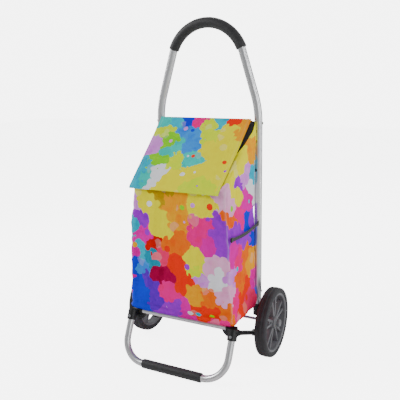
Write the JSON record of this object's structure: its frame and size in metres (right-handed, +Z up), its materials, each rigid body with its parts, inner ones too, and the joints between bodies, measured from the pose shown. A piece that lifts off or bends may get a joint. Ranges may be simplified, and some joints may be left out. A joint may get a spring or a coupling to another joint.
{
  "type": "shopping trolley",
  "caption": "Folding shopping trolley on wheels: tube frame with an arched foam-grip handle, printed fabric bag with a flap, spoked wheels and a fold-up platform with a foot.",
  "frame": {"origin": "on the floor under the centre of the whole object's box", "axes": "+Z up along the frame's legs, -Y to the front where the foot and the flap's free edge are, +X to the right seen from the front"},
  "size_m": [0.4626, 0.3392, 0.948],
  "materials": {
    "silver_tube": "satin anodised tube",
    "foam": "closed-cell foam sleeve",
    "zinc_steel": "zinc-plated steel",
    "black_plastic": "moulded, matt",
    "rim_plastic": "moulded grey, satin",
    "print_fabric": "watercolour dabs printed on woven polyester",
    "print_fabric_flap": "watercolour dabs printed on woven polyester",
    "black_lining": "woven lining",
    "base_board": "stiff board",
    "black_webbing": "woven elastic and webbing",
    "black_tube": "gloss black powder coat",
    "tyre": "dark grey moulded rubber",
    "nylon": "natural nylon"
  },
  "bodies": {
    "frame": {"frame_tube": "silver_tube", "handle_grip": "foam", "hanger_bar": "zinc_steel", "lower_cross_bar": "zinc_steel", "leg_rivets": "zinc_steel", "rear_bracket_left": "black_plastic", "rear_bracket_right": "black_plastic", "axle_rod": "zinc_steel", "axle_spacer_left": "zinc_steel", "axle_spacer_right": "zinc_steel", "axle_cap_left": "rim_plastic", "axle_cap_right": "rim_plastic", "pivot_pin_left": "zinc_steel", "pivot_pin_right": "zinc_steel", "bag_body": "print_fabric", "bag_collar": "black_lining", "bag_base_board": "base_board", "bag_hanging_sleeve": "print_fabric", "bag_clips": "black_plastic", "bag_side_strap": "black_webbing"},
    "flap": {"bag_flap": "print_fabric_flap", "flap_lining": "black_lining"},
    "platform": {"side_rail_left": "black_tube", "side_rail_right": "black_tube", "front_bracket_left": "black_plastic", "front_bracket_right": "black_plastic", "front_cross_tube": "silver_tube", "foot_tube": "silver_tube", "foot_sleeve": "foam", "bracket_screws": "zinc_steel"},
    "wheel_left": {"tyre_left": "tyre", "rim_left": "rim_plastic", "hub_bush_left": "nylon"},
    "wheel_right": {"tyre_right": "tyre", "rim_right": "rim_plastic", "hub_bush_right": "nylon"}
  },
  "joints": [
    {"name": "platform_fold", "type": "hinge", "parent": "frame", "child": "platform", "pos_m": [0, 0.05459, 0.063], "axis": [-1, 0, 0], "range_deg": [0, 66], "deforming": ["bag_body", "bag_base_board", "bag_side_strap"]},
    {"name": "flap_hinge", "type": "hinge", "parent": "frame", "child": "flap", "pos_m": [0, 0.07309, 0.67513], "axis": [-1, 0, 0], "range_deg": [0, 120]},
    {"name": "wheel_left_spin", "type": "hinge", "parent": "frame", "child": "wheel_left", "pos_m": [-0.205, 0.0696, 0.1], "axis": [1, 0, 0], "continuous": true},
    {"name": "wheel_right_spin", "type": "hinge", "parent": "frame", "child": "wheel_right", "pos_m": [0.205, 0.0696, 0.1], "axis": [1, 0, 0], "continuous": true}
  ]
}
